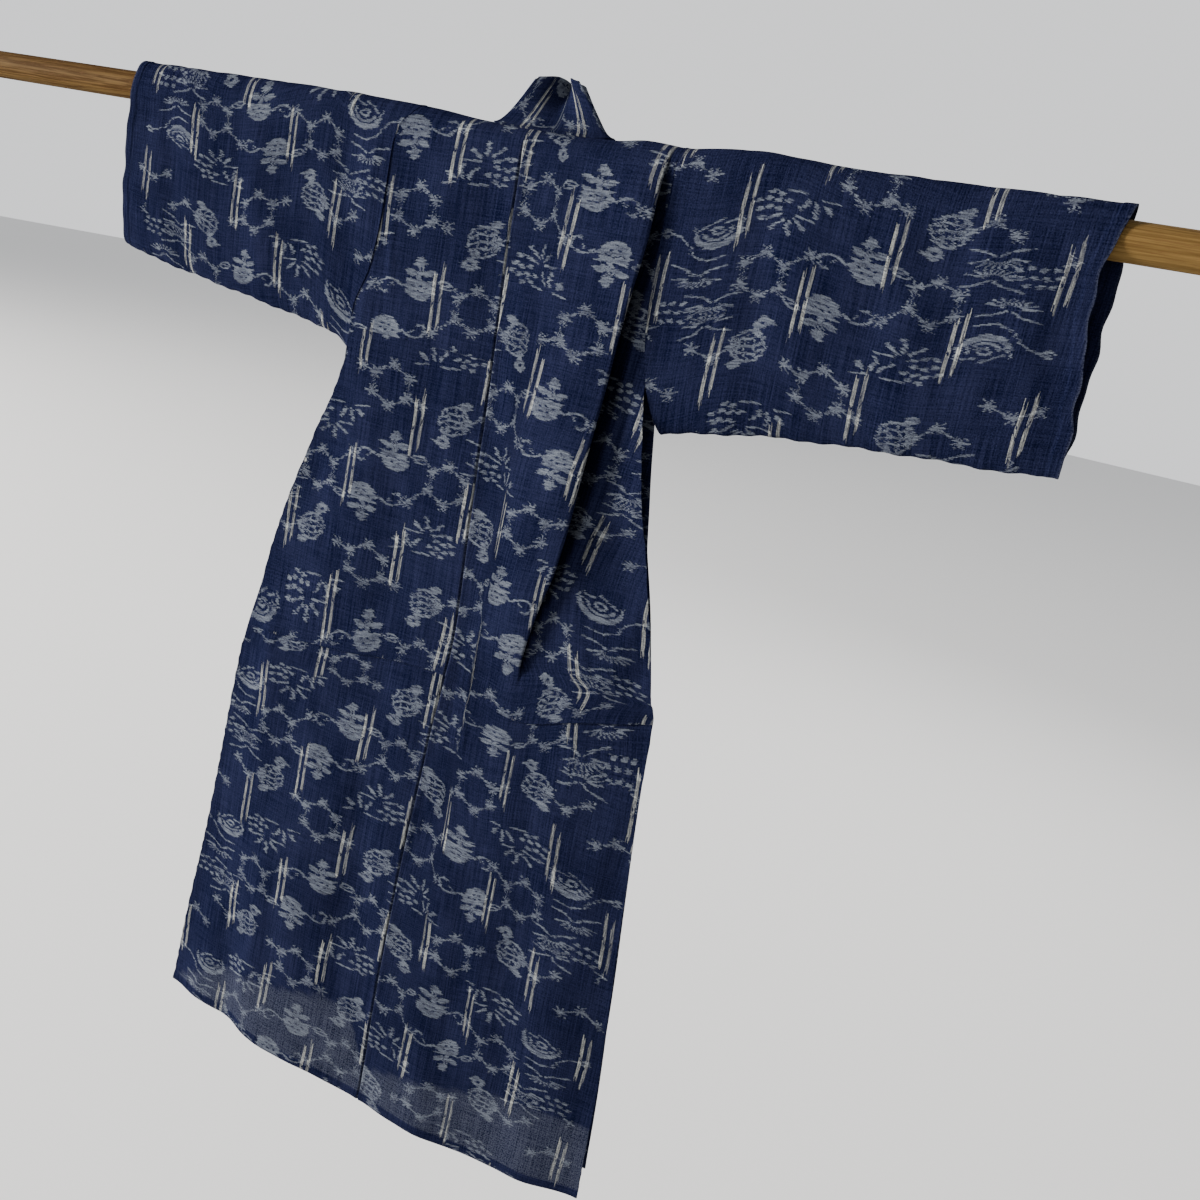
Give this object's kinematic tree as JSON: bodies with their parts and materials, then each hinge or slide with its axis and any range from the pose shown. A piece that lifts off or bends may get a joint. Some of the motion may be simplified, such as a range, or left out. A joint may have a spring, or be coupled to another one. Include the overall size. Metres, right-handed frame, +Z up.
{
  "type": "kimono on a wooden pole",
  "caption": "Child's unlined indigo kimono with woven motifs, hung open on a round wooden pole through both sleeves.",
  "frame": {"origin": "on the pole's axis, half way along the pole", "axes": "+X along the pole towards the right sleeve as seen from the garment's back, +Y towards the garment's fronts, +Z up"},
  "size_m": [1.5, 0.0486, 1.0457],
  "materials": {
    "body_left": "matt plain weave",
    "body_right": "matt plain weave",
    "overlap_left": "matt plain weave",
    "overlap_right": "matt plain weave",
    "sleeve_left": "matt plain weave",
    "sleeve_right": "matt plain weave",
    "collar": "matt plain weave",
    "pole": "smooth, satin"
  },
  "bodies": {
    "root": {"body_left": "body_left", "body_right": "body_right", "overlap_left": "overlap_left", "overlap_right": "overlap_right", "sleeve_left": "sleeve_left", "sleeve_right": "sleeve_right", "collar": "collar", "pole": "pole"}
  },
  "joints": []
}
